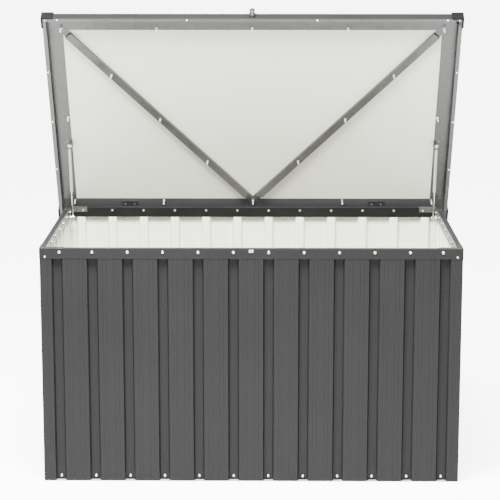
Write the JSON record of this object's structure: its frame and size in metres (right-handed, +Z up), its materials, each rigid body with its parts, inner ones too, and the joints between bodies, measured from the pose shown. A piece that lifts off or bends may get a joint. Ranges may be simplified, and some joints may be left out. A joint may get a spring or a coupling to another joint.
{
  "type": "deck storage box",
  "caption": "Rectangular outdoor storage box of corrugated painted steel with a hinged framed lid, gas struts, braces, corner caps and a push lock.",
  "frame": {"origin": "centre of the base, on the ground under the floor tray", "axes": "+Z up, front wall and lock towards -Y, hinges towards +Y, +X to the right"},
  "size_m": [1.376, 0.8117, 1.473],
  "materials": {
    "wall_sheet": "satin anthracite polyester outside, off-white inside, on folded steel sheet",
    "rail_paint": "satin anthracite paint",
    "galvanised": "dull hot-dip galvanised sheet",
    "zinc": "bright zinc plate",
    "hinge_steel": "black powder coat",
    "cap_plastic": "moulded black polypropylene",
    "chrome": "hard chrome",
    "strut_tube": "silver-grey lacquered tube",
    "lock_collar": "black die casting"
  },
  "bodies": {
    "box": {"base_bolts": "zinc", "floor_tray": "galvanised", "frame_nuts": "zinc", "frame_screws": "zinc", "front_base_rail": "galvanised", "front_left_bracket": "galvanised", "front_left_post": "wall_sheet", "front_panel": "wall_sheet", "front_right_bracket": "galvanised", "front_right_post": "wall_sheet", "front_top_rail": "rail_paint", "hinge_rivets": "zinc", "left_base_rail": "galvanised", "left_hinge_box_leaf": "hinge_steel", "left_hinge_pin": "zinc", "left_panel": "wall_sheet", "left_strut_box_bracket": "zinc", "left_top_rail": "rail_paint", "rail_bolts": "zinc", "rear_base_rail": "galvanised", "rear_left_bracket": "galvanised", "rear_left_post": "wall_sheet", "rear_panel": "wall_sheet", "rear_right_bracket": "galvanised", "rear_right_post": "wall_sheet", "rear_top_rail": "rail_paint", "right_base_rail": "galvanised", "right_hinge_box_leaf": "hinge_steel", "right_hinge_pin": "zinc", "right_panel": "wall_sheet", "right_strut_box_bracket": "zinc", "right_top_rail": "rail_paint", "strike_plate": "zinc"},
    "lid": {"brace_bolts": "zinc", "front_left_cap": "cap_plastic", "front_right_cap": "cap_plastic", "left_brace": "galvanised", "left_hinge_lid_leaf": "hinge_steel", "left_strut_lid_bracket": "zinc", "lid_bolts": "zinc", "lid_front_rail": "galvanised", "lid_left_rail": "galvanised", "lid_nuts": "zinc", "lid_panel": "wall_sheet", "lid_rear_rail": "rail_paint", "lid_right_rail": "galvanised", "lid_rivets": "zinc", "lip_screws": "zinc", "lock_housing": "lock_collar", "rear_left_cap": "cap_plastic", "rear_right_cap": "cap_plastic", "right_brace": "galvanised", "right_hinge_lid_leaf": "hinge_steel", "right_strut_lid_bracket": "zinc"},
    "lock_plunger": {"lock_plunger": "chrome"},
    "left_strut_rod": {"left_strut_rod": "chrome"},
    "right_strut_rod": {"right_strut_rod": "chrome"},
    "left_strut_cylinder": {"left_strut_cylinder": "strut_tube"},
    "right_strut_cylinder": {"right_strut_cylinder": "strut_tube"}
  },
  "joints": [
    {"name": "lid_hinge", "type": "hinge", "parent": "box", "child": "lid", "pos_m": [0, 0.389, 0.742], "axis": [1, 0, 0], "range_deg": [0, 62]},
    {"name": "lock_push", "type": "slide", "parent": "lid", "child": "lock_plunger", "axis": [0, 0.4695, -0.8829], "range_m": [0, 0.012], "stiffness_N_per_m": 400, "springref_m": -0.003},
    {"name": "left_strut_pivot", "type": "hinge", "parent": "box", "child": "left_strut_rod", "pos_m": [-0.63, 0.33, 0.726], "axis": [1, 0, 0], "range_deg": [0, 70.7]},
    {"name": "left_strut_slide", "type": "slide", "parent": "left_strut_rod", "child": "left_strut_cylinder", "axis": [0, -0.27, 0.9629], "range_m": [-0.0513, 0]},
    {"name": "right_strut_pivot", "type": "hinge", "parent": "box", "child": "right_strut_rod", "pos_m": [0.63, 0.33, 0.726], "axis": [1, 0, 0], "range_deg": [0, 70.7]},
    {"name": "right_strut_slide", "type": "slide", "parent": "right_strut_rod", "child": "right_strut_cylinder", "axis": [0, -0.27, 0.9629], "range_m": [-0.0513, 0]}
  ],
  "couplings": [
    {"joint": "left_strut_pivot", "follows": "lid_hinge", "ratio": 1.1397},
    {"joint": "left_strut_slide", "follows": "lid_hinge", "m_per_rad": -0.047319},
    {"joint": "right_strut_pivot", "follows": "lid_hinge", "ratio": 1.1397},
    {"joint": "right_strut_slide", "follows": "lid_hinge", "m_per_rad": -0.047319}
  ]
}
